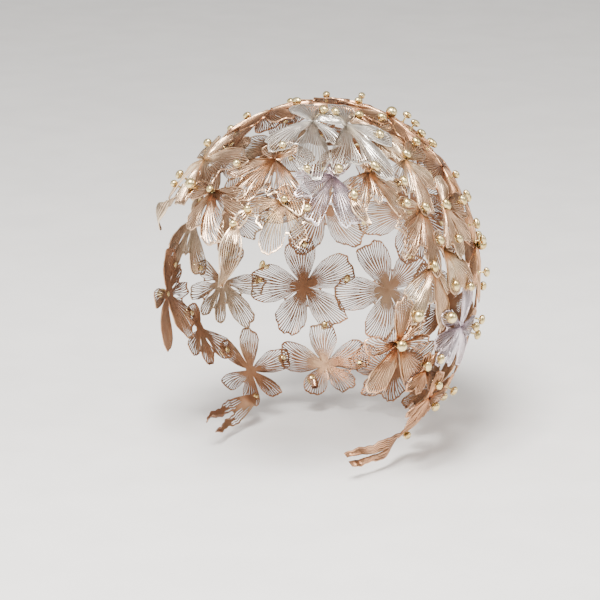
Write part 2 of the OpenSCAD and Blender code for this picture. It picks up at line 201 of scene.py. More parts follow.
# How the leaves are bent: the bow of the middle, the curl of the tip outwards, between which shares of the
# length the slits end, the lift of the right edge and of the left edge, and how far the tip bends to the left
LeafForm = namedtuple("LeafForm", "bow tip_out slit_ends right_lift left_lift tip_left", defaults=(0, 0, 0))
LEAF_FORMS = {
    "brow_sprig": LeafForm(0.6 * MM, 1.0 * MM, (0.74, 0.88)),
    "left_temple_leaf": LeafForm(1.0 * MM, 2.0 * MM, (0.74, 0.88), tip_left=-3.0 * MM),
    "forehead_pendant": LeafForm(1.6 * MM, 1.8 * MM, (0.70, 0.86), right_lift=0.6 * MM, tip_left=-0.8 * MM),
    "right_temple_pendant": LeafForm(2.8 * MM, -2.6 * MM, (0.36, 0.50), right_lift=5.2 * MM),
    "left_nape_spray": LeafForm(0.8 * MM, 1.0 * MM, (0.42, 0.60), left_lift=6.0 * MM),
    "right_nape_spray": LeafForm(0.8 * MM, 1.0 * MM, (0.42, 0.60), right_lift=6.0 * MM),
}

# Rivets: the pin's, shoulder's and stalk's radius, and the radius at which a bead starts on its stalk or its
# shoulder. The tail's profile is shares of its radius and heights above its foot, and the shoulder's is radii
# and heights above the top sheet. TAIL_FOOT, TAIL_CLEAR and SHOULDER_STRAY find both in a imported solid
PIN = 0.6 * MM
SHOULDER = 1.2 * MM
STALK = 0.5 * MM
STALK_RIPPLE = 0.07 * MM
STALK_RIPPLES = 3
STALK_STEPS = 9
STALK_FOOT = 0.5 * MM
STALK_NECK = 0.55 * MM
NECK = 0.9 * MM
TAIL = ((0, 0), (0.86, 0), (1, 0.12 * MM), (1, 0.3 * MM), (0.8, 0.4 * MM))
TAIL_HEIGHT = 0.42 * MM
TAIL_FOOT = 0.05 * MM
TAIL_CLEAR = 0.6 * MM
SHOULDER_STRAY = 0.03 * MM
SHOULDER_PROFILE = ((1.15 * MM, 0), (SHOULDER, 0.12 * MM), (1.05 * MM, 0.3 * MM), (0.75 * MM, 0.42 * MM))
BEAD_STEPS = 16
RIVET_FACETS = 28

# Beads: how many times as long as wide the large ones, the small ones and the buds are behind FRONT, and how
# far they lean, in degrees
ROUND = (1, 1.1)
OVAL = (1.2, 1.55)
OVAL_BUD = (1.4, 1.75)
LEAN = 25
FRONT = -45.0 * MM

# Plated sheets: the dark, middle and bright shades, and the dark colour of tarnish spots and of the painted
# shade in the grooves
SHEET_METALS = {
    "rose_gold_sheet": ((0.56, 0.34, 0.21), (0.84, 0.57, 0.37), (0.97, 0.80, 0.57), (0.10, 0.05, 0.03)),
    "copper_sheet": ((0.38, 0.19, 0.10), (0.68, 0.36, 0.20), (0.90, 0.60, 0.37), (0.08, 0.04, 0.025)),
    # The silvered sheet's near-white shades are partly its silvered tone and partly a painted highlight of
    # the light on the crown flowers
    "silvered_sheet": ((0.88, 0.78, 0.66), (0.97, 0.93, 0.86), (1.0, 0.99, 0.96), (0.20, 0.13, 0.08)),
    "lilac_sheet": ((0.62, 0.47, 0.46), (0.80, 0.69, 0.74), (0.95, 0.90, 0.95), (0.12, 0.07, 0.06)),
}

# Cast metals: the shade of the patches and the bright colour
CAST_METALS = {
    "gold_bead": ((0.70, 0.52, 0.22), (0.92, 0.78, 0.44)),
    "loop_wire": ((0.40, 0.24, 0.15), (0.62, 0.42, 0.30)),
}

# Roughness of the metals, how much rougher a groove is, and the height of the bumps
SHEET_ROUGHNESS = (0.28, 0.40)
GROOVE_ROUGHNESS = 0.22
SHEET_BUMP = 0.08 * MM
CAST_ROUGHNESS = (0.20, 0.36)
CAST_BUMP = 0.12 * MM

# The camera's angle, distance and lens, and how far beside the head form's centre it aims
STUDIO_AZIMUTH = 36
STUDIO_ELEVATION = 17
CAMERA_DISTANCE = 1.6
CAMERA_LENS = 186
CAMERA_SENSOR = 36
CAMERA_CLIP = 0.1
AIM_RIGHT = -8.1 * MM
AIM_UP = -7.6 * MM

# The floor lies this far below the cap at rest, so that the nape sprays can turn down above it
FLOOR_DROP = 5.0 * MM
FLOOR_HALF = 4.0
FLOOR_SHADES = ((0.84, 0.83, 0.82), (0.88, 0.87, 0.86))
FLOOR_ROUGHNESS = 0.8

# Light: the sky, and the softboxes' azimuth, elevation, distance, size, power in watts and colour
SKY = (0.92, 0.90, 0.88, 1)
SKY_STRENGTH = 0.62
SOFTBOXES = {
    "key": (20, 62, 1.1, 0.45, 38, (1.0, 0.97, 0.93)),
    "front_fill": (-35, 20, 1.4, 0.9, 5, (0.93, 0.95, 1.0)),
    "side_rim": (110, 35, 1.2, 0.5, 6, (1.0, 0.93, 0.86)),
}


def smooth(t):
    """0 to 1 with a level start and end."""
    t = np.clip(t, 0, 1)
    return t * t * (3 - 2 * t)


def arch(t):
    """0 to 1 and back to 0, as half a sine wave."""
    return np.sin(math.pi * t)


def wave(turns):
    """0 to 1 and back to 0, once in every turn."""
    return 0.5 - 0.5 * np.cos(TURN * turns)


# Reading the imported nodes


def welded(node):
    """A node's points, each once, and its triangles."""
    mesh = frame["nodes"][node].data
    mesh.calc_loop_triangles()
    points = np.empty(3 * len(mesh.vertices), np.float32)
    mesh.vertices.foreach_get("co", points)
    triangles = np.empty(3 * len(mesh.loop_triangles), np.int32)
    mesh.loop_triangles.foreach_get("vertices", triangles)
    points = points.reshape(-1, 3).astype(float)
    cells = np.round(points / WELD).astype(np.int64)
    _, first, place = np.unique(cells, axis=0, return_index=True, return_inverse=True)
    return points[first], place.ravel()[triangles].reshape(-1, 3)


def growth(points):
    """How far points lie above the head form, as the growth of its half axes."""
    grown = np.zeros(len(points))
    for _ in range(NEWTON_ROUNDS):
        axes = HEAD + grown[:, None]
        excess = ((points / axes) ** 2).sum(axis=1) - 1
        slope = -2 * (points**2 / axes**3).sum(axis=1)
        grown -= excess / slope
    return grown


def wall_axis(points, walls):
    """The one direction that the cut edges of a sheet all run along, pointing outwards."""
    corners = points[walls]
    across = np.cross(corners[:, 1] - corners[:, 0], corners[:, 2] - corners[:, 0])
    size = np.linalg.norm(across, axis=1)
    kept = np.ones(len(across), bool)
    for _ in range(WALL_ROUNDS):
        axis = np.linalg.svd(across[kept], full_matrices=False)[2][-1]
        kept = abs(across @ axis) <= WALL_STRAY * size
    return axis * np.sign(points.mean(axis=0) @ axis)


def loops_of(triangles):
    """The closed edges of a patch of triangles, as lists of points in order."""
    ways = {(a, b) for t in triangles.tolist() for a, b in zip(t, t[1:] + t[:1])}
    following = {a: b for a, b in ways if (b, a) not in ways}
    loops = []
    while following:
        start, here = following.popitem()
        loop = [start]
        while here in following:
            loop.append(here)
            here = following.pop(here)
        loops.append(loop)
    return loops


def around(pick, reach, samples):
    """The most or the least of an outline's distances, among the given number of samples on both sides."""
    return pick([np.roll(reach, k) for k in range(-samples, samples + 1)], axis=0)


def distance_at(reach, angle):
    """An outline's distance in the given directions."""
    return np.interp(angle / TURN * SAMPLES - 0.5, np.arange(SAMPLES), reach, period=SAMPLES)


class Plate:
    """One sheet: its place on the head, its level and its flat outline round the throat or the pivot."""

    def __init__(self, node, body):
        self.node = node
        self.body = body
        points, triangles = welded(node)
        depth = growth(points)
        self.level = depth.min()
        outer = depth > (depth.min() + depth.max()) / 2
        share = outer[triangles].sum(axis=1)
        walls = triangles[(share > 0) & (share < 3)]
        self.normal = wall_axis(points, walls)
        self.place = HEAD**2 * self.normal / math.sqrt((HEAD**2 * self.normal**2).sum())
        turned = math.atan2(self.normal[0], -self.normal[1])
        self.east = np.array([math.cos(turned), math.sin(turned), 0])
        self.up = np.cross(self.normal, self.east)
        flats = [self.flat(points[loop]) for loop in loops_of(triangles[share == 3])]
        self.edge = max(flats, key=lambda flat: np.ptp(flat, axis=0).sum())
        self.reach = self.outline_reach()

    def flat(self, points):
        """Points in space as (x, y) in the sheet's own plane."""
        return np.stack([(points - self.place) @ self.east, (points - self.place) @ self.up], axis=-1)

    def outline_reach(self):
        """The outline's distance from the throat in every direction, with the bites of rivet holes closed."""
        ends = np.roll(self.edge, -1, axis=0)
        steps = np.linspace(0, 1, EDGE_STEPS, endpoint=False)[:, None, None]
        dense = (self.edge * (1 - steps) + ends * steps).reshape(-1, 2)
        cell = np.floor(np.arctan2(dense[:, 1], dense[:, 0]) / TURN * SAMPLES).astype(int) % SAMPLES
        reach = np.zeros(SAMPLES)
        np.maximum.at(reach, cell, np.hypot(dense[:, 0], dense[:, 1]))
        known = np.flatnonzero(reach)
        reach = np.interp(np.arange(SAMPLES), known, reach[known], period=SAMPLES)
        return around(np.min, around(np.max, reach, HOLE_BITE), HOLE_BITE)

    def in_space(self, flat, height):
        """Flat points as points in space, the given height above the head form."""
        start = self.place + flat[..., :1] * self.east + flat[..., 1:] * self.up
        axes = HEAD + np.asarray(height)[..., None]
        a = (self.normal**2 / axes**2).sum(axis=-1)
        b = (start * self.normal / axes**2).sum(axis=-1)
        c = (start**2 / axes**2).sum(axis=-1) - 1
        rise = (-b + np.sqrt(np.maximum(b * b - a * c, 0))) / a
        return start + rise[..., None] * self.normal


def petal_bounds(reach):
    """Directions between the petals, as sample numbers, in order, and which sectors after them are bare."""
    bare = reach < BARE_RADIUS
    low = around(np.min, reach, NOTCH_REACH)
    edges = [i for i in range(SAMPLES) if bare[i] != bare[i - 1]]
    notches = [i for i in range(SAMPLES) if reach[i] == low[i] and reach[i - 1] != low[i] and not bare[i]]

    def apart(one, other):
        return min((one - other) % SAMPLES, (other - one) % SAMPLES)

    clear = [i for i in notches if all(apart(i, edge) > NOTCH_REACH for edge in edges)]
    found = sorted(edges + clear)

    def peak(i):
        start, end = found[i], found[(i + 1) % len(found)]
        return max(reach[k % SAMPLES] for k in range(start, end if end > start else end + SAMPLES))

    weakest = 0
    while len(found) > 2 and weakest < 1 + NOTCH_DEPTH:
        depths = [
            (min(peak(i - 1), peak(i)) / reach[place], place)
            for i, place in enumerate(found)
            if place not in edges
        ]
        if not depths:
            break
        weakest, shallowest = min(depths)
        if weakest < 1 + NOTCH_DEPTH:
            found.remove(shallowest)
    return [(start, bool(bare[(start + 1) % SAMPLES])) for start in found]


def beads_of(node):
    """The separate rivets of a node, each as its points."""
    points, triangles = welded(node)
    group = np.arange(len(points))
    while True:
        lowest = group[triangles].min(axis=1)
        before = group.copy()
        for corner in range(3):
            np.minimum.at(group, triangles[:, corner], lowest)
        group = group[group]
        if (group == before).all():
            break
    return [points[group == g] for g in np.unique(group)]


behaviour = frame["record"]["behaviour"]
body_of = {node: body for body, nodes in behaviour["bodies"].items() for node in nodes}
slot_of = {part["node"]: part["material_slot"] for part in frame["record"]["subparts"]}
ranges = {joint["child"]: joint["range_deg"] for joint in behaviour["joints"]}
plates = [Plate(node, body_of[node]) for node in body_of if slot_of[node].endswith("_sheet")]
rivets = {node: beads_of(node) for node in ("centre_beads", "joint_beads", "bud_stamens")}
rivet_places = np.array([rivet.mean(axis=0) for group in rivets.values() for rivet in group])


# Materials


def new_material(name):
    """A material with its nodes, links and shader, and the place on the object as its texture's place."""
    material = bpy.data.materials.new(name)
    material.use_nodes = True
    nodes, links = material.node_tree.nodes, material.node_tree.links
    place = nodes.new("ShaderNodeTexCoord").outputs["Object"]
    return material, nodes, links, nodes["Principled BSDF"], place


def noise(nodes, links, place, scale, detail, roughness=0.5):
    """A cloudy value from 0 to 1."""
    node = nodes.new("ShaderNodeTexNoise")
    node.inputs["Scale"].default_value = scale
    node.inputs["Detail"].default_value = detail
    node.inputs["Roughness"].default_value = roughness
    links.new(place, node.inputs["Vector"])
    return node.outputs["Fac"]


def ramp(nodes, links, value, stops):
    """The colour of a value, on a ramp with the given (place, colour) stops."""
    node = nodes.new("ShaderNodeValToRGB")
    while len(node.color_ramp.elements) < len(stops):
        node.color_ramp.elements.new(1)
    for element, (place, colour) in zip(node.color_ramp.elements, stops):
        element.position = place
        element.color = (*colour, 1)
    links.new(value, node.inputs["Fac"])
    return node.outputs["Color"]


def mixed(nodes, links, factor, first, second):
    """The first colour, covered by the second as far as the factor says; a colour is a socket or a tuple."""
    node = nodes.new("ShaderNodeMix")
    node.data_type = "RGBA"
    links.new(factor, node.inputs[0])
    for colour, socket in ((first, node.inputs[6]), (second, node.inputs[7])):
        if isinstance(colour, tuple):
            socket.default_value = (*colour, 1)
        else:
            links.new(colour, socket)
    return node.outputs[2]


def mapped(nodes, links, value, taken, given):
    """A value mapped from one range to another."""
    node = nodes.new("ShaderNodeMapRange")
    node.inputs["From Min"].default_value, node.inputs["From Max"].default_value = taken
    node.inputs["To Min"].default_value, node.inputs["To Max"].default_value = given
    links.new(value, node.inputs["Value"])
    return node.outputs["Result"]


def bumped(nodes, links, shader, value, strength, height):
    """Small bumps on a shader's surface."""
    node = nodes.new("ShaderNodeBump")
    node.inputs["Strength"].default_value = strength
    node.inputs["Distance"].default_value = height
    links.new(value, node.inputs["Height"])
    links.new(node.outputs["Normal"], shader.inputs["Normal"])


def sheet_metal(name, dark, middle, bright, tarnish_and_shade):
    """Etched and plated sheet: cloudy colour, tarnish spots, painted shade in the grooves and beneath,
    painted highlights on the crests and fine grain.
    """
    material, nodes, links, shader, place = new_material(name)
    shader.inputs["Metallic"].default_value = 1
    attribute = nodes.new("ShaderNodeAttribute")
    attribute.attribute_name = "relief"
    relief = attribute.outputs["Fac"]
    clouds = noise(nodes, links, place, scale=34, detail=3)
    tint = ramp(nodes, links, clouds, [(0.32, dark), (0.50, middle), (0.68, bright)])
    blotches = noise(nodes, links, place, scale=160, detail=4, roughness=0.6)
    spots = ramp(nodes, links, blotches, [(0.52, (0, 0, 0)), (0.72, (1, 1, 1))])
    stained = mapped(nodes, links, spots, (0, 1), (0, 0.25))
    spotted = mixed(nodes, links, stained, tint, tarnish_and_shade)
    # Painted shade: the tarnish colour darkens the grooves, the undersides and the throats, the more the
    # lower their relief mark
    groove_shade = mapped(nodes, links, relief, (GROOVE_MARK, 0.72), (0.9, 0))
    groove_shaded = mixed(nodes, links, groove_shade, spotted, tarnish_and_shade)
    # Painted highlight: the crests, the rims and the leaf edges are lightened towards the bright shade
    crest_highlight = mapped(nodes, links, relief, (0.7, 1.0), (0, 0.6))
    links.new(mixed(nodes, links, crest_highlight, groove_shaded, bright), shader.inputs["Base Color"])
    grain = noise(nodes, links, place, scale=2600, detail=3, roughness=0.7)
    rough = nodes.new("ShaderNodeMath")
    rough.operation = "ADD"
    links.new(mapped(nodes, links, grain, (0.3, 0.7), SHEET_ROUGHNESS), rough.inputs[0])
    links.new(mapped(nodes, links, relief, (0, 0.6), (GROOVE_ROUGHNESS, 0)), rough.inputs[1])
    links.new(rough.outputs[0], shader.inputs["Roughness"])
    bumped(nodes, links, shader, grain, 0.25, SHEET_BUMP)
    return material


def cast_metal(name, shade, bright):
    """Cast metal: satin with small pits and a warmer shade in patches."""
    material, nodes, links, shader, place = new_material(name)
    shader.inputs["Metallic"].default_value = 1
    patches = noise(nodes, links, place, scale=420, detail=3)
    tint = ramp(nodes, links, patches, [(0.38, shade), (0.62, bright)])
    links.new(tint, shader.inputs["Base Color"])
    pits = noise(nodes, links, place, scale=1500, detail=4, roughness=0.6)
    links.new(mapped(nodes, links, pits, (0.3, 0.7), CAST_ROUGHNESS), shader.inputs["Roughness"])
    bumped(nodes, links, shader, pits, 0.3, CAST_BUMP)
    return material


MATERIALS = {name: sheet_metal(name, *shades) for name, shades in SHEET_METALS.items()}
MATERIALS |= {name: cast_metal(name, *shades) for name, shades in CAST_METALS.items()}


# Ribbed sheets


def faces_of(*corners):
    """Faces from equal arrays of corner numbers, one array for each corner."""
    return np.stack([np.ravel(c) for c in corners], axis=-1).tolist()


def shade_smooth(mesh):
    """Smooth shading, apart from the sharp edges."""
    mesh.shade_smooth()
    mesh.set_sharp_from_angle(angle=math.radians(SHARP_ANGLE))


def ribbed_sheet(name, sides, crests, is_open, ring, marks):
    """A closed mesh of ribs that run along the rows, with a slit wherever a line between two ribs is open.

    sides is [top start, top end, underside start, underside end] of every line, as lines x rows x 3. The
    start is the side that the next rib starts from, the end is the side that the rib before it ends at.
    crests is the top of every rib, and marks are the relief marks of the four sides and the crests. is_open
    says, for every line and every step between rows, whether the slit is through; it may run out of the
    sheet's end. A ring joins its last rib to the first line and closes over a throat.
    """
    lines, rows = sides[0].shape[:2]
    ribs = lines if ring else lines - 1
    count = lines * rows
    start, end, low_start, low_end = [np.arange(count).reshape(lines, rows) + k * count for k in range(4)]
    crest = np.arange(ribs * rows).reshape(ribs, rows) + 4 * count
    after = np.roll(np.arange(lines), -1)[:ribs]
    rib_start, rib_low_start = start[:ribs], low_start[:ribs]
    rib_end, rib_low_end = end[after], low_end[after]
    a, b = slice(None, -1), slice(1, None)

    # The two slopes and the underside of every rib
    faces = faces_of(rib_start[:, a], rib_start[:, b], crest[:, b], crest[:, a])
    faces += faces_of(crest[:, a], crest[:, b], rib_end[:, b], rib_end[:, a])
    faces += faces_of(rib_low_start[:, a], rib_low_end[:, a], rib_low_end[:, b], rib_low_start[:, b])

    # The grooves between two ribs where the line is shut, and the walls of the slits where it is open
    inner = np.arange(lines) if ring else np.arange(1, lines - 1)
    through = is_open[inner]
    for one, other, flip in ((end, start, False), (low_end, low_start, True)):
        quad = [one[inner][:, a], one[inner][:, b], other[inner][:, b], other[inner][:, a]]
        quad = [corner[~through] for corner in quad]
        faces += faces_of(*(quad[::-1] if flip else quad))
    walls = [(start, low_start, inner, through, False), (end, low_end, inner, through, True)]
    if not ring:
        whole = np.ones((1, rows - 1), bool)
        walls.append((start, low_start, np.array([0]), whole, False))
        walls.append((end, low_end, np.array([lines - 1]), whole, True))
    for top, low, which, mask, flip in walls:
        quad = [top[which][:, a], low[which][:, a], low[which][:, b], top[which][:, b]]
        quad = [corner[mask] for corner in quad]
        faces += faces_of(*(quad[::-1] if flip else quad))

    # The ends of the slits, apart from those that run out of the sheet's end
    padded = np.zeros((len(inner), rows + 1), bool)
    padded[:, 1:-1] = through
    opens = padded[:, 1:] & ~padded[:, :-1]
    shuts = ~padded[:, 1:] & padded[:, :-1]
    shuts[:, -1] = False
    ended = inner[~through[:, -1]]
    cap = [grid[inner] for grid in (end, low_end, low_start, start)]
    faces += faces_of(*[grid[opens] for grid in cap])
    faces += faces_of(*[grid[shuts] for grid in cap[::-1]])

    # The far end of the sheet
    last = rows - 1
    faces += faces_of(
        rib_start[:, last], rib_low_start[:, last], rib_low_end[:, last], rib_end[:, last], crest[:, last]
    )
    faces += faces_of(end[ended, last], low_end[ended, last], low_start[ended, last], start[ended, last])

    # The near end, which is a throat in a ring
    points = [grid.reshape(-1, 3) for grid in (*sides, crests)]
    relief = [np.broadcast_to(mark, grid.shape[:2]).ravel() for mark, grid in zip(marks, (*sides, crests))]
    if ring:
        middle = 4 * count + ribs * rows
        points += [sides[0][:, :1].mean(axis=0), sides[2][:, :1].mean(axis=0)]
        # The throat's marks paint a little shade on its top and more beneath it
        relief += [[mark] for mark in THROAT_MARKS]
        top, low = np.full(lines, middle), np.full(lines, middle + 1)
        faces += faces_of(top, rib_start[:, 0], crest[:, 0])
        faces += faces_of(top, crest[:, 0], rib_end[:, 0])
        faces += faces_of(top, end[:, 0], start[:, 0])
        faces += faces_of(low, rib_low_end[:, 0], rib_low_start[:, 0])
        faces += faces_of(low, low_start[:, 0], low_end[:, 0])
    else:
        faces += faces_of(crest[:, 0], rib_end[:, 0], rib_low_end[:, 0], rib_low_start[:, 0], rib_start[:, 0])
        faces += faces_of(start[inner, 0], low_start[inner, 0], low_end[inner, 0], end[inner, 0])

    mesh = bpy.data.meshes.new(name)
    mesh.from_pydata(np.concatenate(points).tolist(), [], faces)
    attribute = mesh.attributes.new("relief", "FLOAT", "POINT")
    attribute.data.foreach_set("value", np.concatenate(relief).astype(np.float32))
    shade_smooth(mesh)
    return mesh


def add_piece(name, mesh, body, replaced, slot):
    """A piece of the object in place of a node of the frame."""
    piece = bpy.data.objects.new(name, mesh)
    bpy.context.scene.collection.objects.link(piece)
    mesh.materials.append(MATERIALS[slot])
    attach(piece, body)
    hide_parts(replaced)


# Where a sheet may rise


def swept_reach(plate):
    """The plate's outline, with the swing of its joint if it has one."""
    low, high = ranges.get(plate.node, (0, 0))
    steps = range(math.floor(low / 360 * SAMPLES), math.ceil(high / 360 * SAMPLES) + 1)
    return np.max([np.roll(plate.reach, k) for k in steps], axis=0)


SWEPT = {plate.node: swept_reach(plate) for plate in plates}


def free_share(plate, flat):
    """1 where a sheet may rise freely, down to 0 under a sheet of a higher level and beside a bead."""
    space = plate.in_space(flat, np.full(flat.shape[:-1], plate.level))
    share = np.ones(flat.shape[:-1])
    for other in plates:
        if other.level < plate.level + SHEET or np.linalg.norm(other.place - plate.place) > COVER_RANGE:
            continue
        seen = other.flat(space)
        reach = distance_at(SWEPT[other.node], np.arctan2(seen[..., 1], seen[..., 0]))
        outside = np.hypot(seen[..., 0], seen[..., 1]) - reach
        share *= smooth(outside / COVER_FADE)
    for place in rivet_places:
        if np.linalg.norm(place - plate.place) < BEAD_RANGE:
            away = np.linalg.norm(np.cross(space - place, place / np.linalg.norm(place)), axis=-1)
            share *= smooth((away - BEAD_CLEAR) / BEAD_FADE)
    return share


# Flowers


def petal_columns(plate, start, end, chance):
    """One petal's columns, two to a vein, as what holds for each of them and for the petal as a whole."""
    angles = np.linspace(start, end, FINENESS * max(2, round((end - start) / TURN * SAMPLES)))
    reach = distance_at(plate.reach, angles)
    steps = np.hypot(np.diff(reach), reach[:-1] * np.diff(angles))
    along = np.concatenate([[0], np.cumsum(steps)])
    veins = max(3, round(along[-1] / VEIN_PITCH))
    shares = np.arange(2 * veins) / (2 * veins)
    rim = np.interp(shares * along[-1], along, angles)
    scallops = SCALLOP * np.sin(TURN * (shares * chance.uniform(*SCALLOP_COUNT) + chance.uniform(0, 1)))
    scallops += FINE_SCALLOP * np.sin(TURN * (shares * chance.uniform(*FINE_COUNT) + chance.uniform(0, 1)))
    has_tip = chance.uniform(0, 1) < TIP_SHARE
    tip_place = chance.uniform(*TIP_PLACE)
    pointed = TIP * has_tip * np.exp(-(((shares - tip_place) / TIP_WIDTH) ** 2))
    petal = {
        "length": reach.max(),
        "swirl": chance.uniform(-SWIRL, SWIRL),
        "waves": chance.integers(*WAVES),
        "phase": chance.uniform(0, 1),
        "cup": chance.uniform(*CUP_SIZES),
    }
    columns = {key: np.full(2 * veins, value) for key, value in petal.items()}
    columns["share"] = shares
    columns["throat"] = start + (end - start) * shares
    columns["rim"] = rim
    columns["reach"] = np.interp(rim, angles, reach) * (1 + scallops * arch(shares) ** 0.6 + pointed)
    return columns


def flower_columns(plate, chance):
    """All the columns of a flower, round the throat. They are lines and the middles of veins by turns."""
    bounds = petal_bounds(plate.reach)
    petals = []
    for i, (start, bare) in enumerate(bounds):
        end = bounds[(i + 1) % len(bounds)][0]
        if end <= start:
            end += SAMPLES
        columns = petal_columns(plate, start / SAMPLES * TURN, end / SAMPLES * TURN, chance)
        columns["bare"] = np.full(len(columns["share"]), bare)
        columns["edge"] = columns["share"] == 0
        petals.append(columns)
    return {key: np.concatenate([petal[key] for petal in petals])[:, None] for key in petals[0]}


def open_eyes(columns, turned, radius, chance):
    """Half the widths of the openings where petals meet. They push the veins away, which changes turned."""
    count = len(turned)
    edges = np.flatnonzero(columns["edge"][:, 0])
    opening = np.zeros_like(radius)
    for i, edge in enumerate(edges):
        if columns["bare"][edge, 0] or columns["bare"][edge - 1, 0]:
            continue
        meet = columns["reach"][edge, 0]
        size = min(EYE_SHARE * meet, EYE_MOST) * chance.uniform(*EYE_SIZES)
        size *= smooth((meet - EYE_FROM) / EYE_GROWTH)
        opening[edge] = size * arch(np.clip((VEIN_ROWS - EYE_START) / EYE_LENGTH, 0, 1)) ** 1.5
        next_edge = edges[i + 1] if i + 1 < len(edges) else count
        last_edge = edges[i - 1] if i > 0 else edges[-1] - count
        for beside, side in ((np.arange(edge + 1, next_edge), 1), (np.arange(last_edge + 1, edge), -1)):
            apart = abs(np.angle(np.exp(1j * (turned[beside] - columns["rim"][edge]))))
            shift = opening[edge] * np.exp(-apart * radius[beside] / EYE_FADE)
            turned[beside] += side * shift / radius[beside]
    return opening


def flower_slits(columns, width, opening, chance):
    """Half the width of the gap at every line of a flower, and where it is cut through."""
    count, rows = width.shape
    edge, bare, reach = [columns[key][0::2, 0] for key in ("edge", "bare", "reach")]
    is_long = np.arange(count) % 2 == 0
    starts = np.where(is_long, chance.uniform(*LONG_START, count), chance.uniform(*SHORT_START, count))
    first = np.where(edge, EYE_FIRST_ROW, np.searchsorted(VEIN_ROWS, starts))[:, None]
    shut = bare | (reach < SLIT_LEAST_REACH) | (width[:, LAST_ROW // 2] < SLIT_LEAST_WIDTH)
    shut |= edge & (opening.max(axis=1) < EYE_LEAST)
    step = np.arange(rows - 1)
    is_open = (step >= first) & (step < LAST_ROW) & ~shut[:, None]
    has_slit = is_open.any(axis=1)[:, None]

    # The slit's width along the veins, and the groove's before its start and across the rim
    vein_width = width[:, : LAST_ROW + 1]
    tapered = smooth((VEIN_ROWS - VEIN_ROWS[first]) / SLIT_TAPER)
    inner = np.where(is_long[:, None], 1 - smooth((VEIN_ROWS - INNER_END) / INNER_FADE), 0)
    slit_share = SLIT_SHARE + (INNER_SHARE - SLIT_SHARE) * inner
    slit = 0.5 * slit_share * vein_width * tapered
    slit[:, -len(SLIT_PINCH) :] *= SLIT_PINCH
    row = np.arange(LAST_ROW + 1)
    in_slit = has_slit & (row > first)
    half = np.minimum(GROOVE, GROOVE_SHARE * width)
    vein_half = half[:, : LAST_ROW + 1]
    half[:, : LAST_ROW + 1] = np.where(in_slit, np.maximum(vein_half, slit), vein_half)
    half = np.maximum(half, np.where(has_slit, opening, 0))
    most = np.where(edge, EYE_SLIT_MOST, SLIT_MOST)[:, None]
    return np.minimum(half, most * width), is_open


def flower_mesh(plate, chance):
    """A flower of petals with raised veins, tapering slits, eye-shaped openings and ruffled rims."""
    columns = flower_columns(plate, chance)

    # Flat paths of every column, from the throat to the rim
    turned = columns["throat"] + (columns["rim"] - columns["throat"]) * VEIN_ROWS**SPREAD
    turned = turned + columns["swirl"] * arch(VEIN_ROWS) * arch(columns["share"])
    radius = THROAT_START + (columns["reach"] - THROAT_START - RIM) * VEIN_ROWS
    opening = open_eyes(columns, turned, radius, chance)
    turned = np.concatenate([turned, np.repeat(columns["rim"], len(RIM_ROWS), axis=1)], axis=1)
    radius = np.concatenate([radius, columns["reach"] - RIM * np.array(RIM_ROWS)], axis=1)
    opening = np.pad(opening, ((0, 0), (0, len(RIM_ROWS))))
    flat = np.stack([radius * np.cos(turned), radius * np.sin(turned)], axis=-1)
    lines, middles = flat[0::2], flat[1::2]
    chord = middles - np.roll(middles, 1, axis=0)
    width = np.linalg.norm(chord, axis=-1)
    across = chord / np.maximum(width, TINY)[..., None]
    half, is_open = flower_slits(columns, width, opening[0::2], chance)
    start_flat = lines + across * half[..., None]
    end_flat = lines - across * half[..., None]

    def height(points, first):
        """The height of every second column, from the first one on."""
        c = {key: values[first::2] for key, values in columns.items()}
        part = radius[first::2] / c["reach"]
        cup = c["cup"] * CUP * (arch(np.clip(part**1.2, 0, 1)) * arch(c["share"]) ** 0.7)
        outwards = smooth((part - RUFFLE_START) / (1 - RUFFLE_START))
        ruffle = RUFFLE * outwards * wave(c["waves"] * c["share"] + c["phase"]) * arch(c["share"]) ** 0.5
        size = np.clip(c["length"] / FULL_RELIEF_LENGTH, *RELIEF_SIZES)
        formed = (cup + ruffle + CURL * outwards**3) * size * ~c["bare"]
        return plate.level + formed * free_share(plate, points)

    # The sheet's faces: the lines sink into grooves, the crests rise above them, and the rim is rounded
    row = np.arange(len(VEIN_ROWS) + len(RIM_ROWS))
    in_rim = row >= LAST_ROW
    rim_crest = np.where(row == len(row) - 2, RIM_CREST, 0)
    underside = height(lines, 0)
    line_top = underside + SHEET - np.where(in_rim, 0, GROOVE_DEPTH) + rim_crest
    crest_top = height(middles, 1) + SHEET + np.where(in_rim, 0, CREST) + rim_crest
    sides = [
        plate.in_space(start_flat, line_top),
        plate.in_space(end_flat, line_top),
        plate.in_space(start_flat, underside),
        plate.in_space(end_flat, underside),
    ]
    # Low marks paint shade in the grooves and beneath, high marks paint highlights on the crests and the rim
    line_mark = np.where(in_rim, RIM_MARK, GROOVE_MARK)
    crest_mark = np.where(in_rim, RIM_CREST_MARK, CREST_MARK)
    marks = [line_mark, line_mark, UNDERSIDE_MARK, UNDERSIDE_MARK, crest_mark]
    return ribbed_sheet(plate.node, sides, plate.in_space(middles, crest_top), is_open, True, marks)


# Single leaves, pendants and sprays


def resampled(path, count):
    """A path's points, evenly spaced along it."""
    along = np.concatenate([[0], np.cumsum(np.linalg.norm(np.diff(path, axis=0), axis=1))])
    where = np.linspace(0, along[-1], count)
    return np.stack([np.interp(where, along, path[:, k]) for k in range(2)], axis=-1)


def leaf_edges(plate, rows):
    """The right and left edges of a leaf, from behind its rivet to its tip."""
    edge = plate.edge
    tip = int(np.argmax(np.hypot(edge[:, 0], edge[:, 1])))
    ahead = edge[tip] / np.linalg.norm(edge[tip])
    rolled = np.roll(edge, -tip, axis=0)
    base = int(np.argmin(rolled @ ahead))
    one = rolled[: base + 1][::-1]
    other = np.concatenate([rolled[base:], rolled[:1]])
    side = np.array([-ahead[1], ahead[0]])
    right, left = (one, other) if (one @ side).mean() < (other @ side).mean() else (other, one)
    return resampled(right, rows), resampled(left, rows)


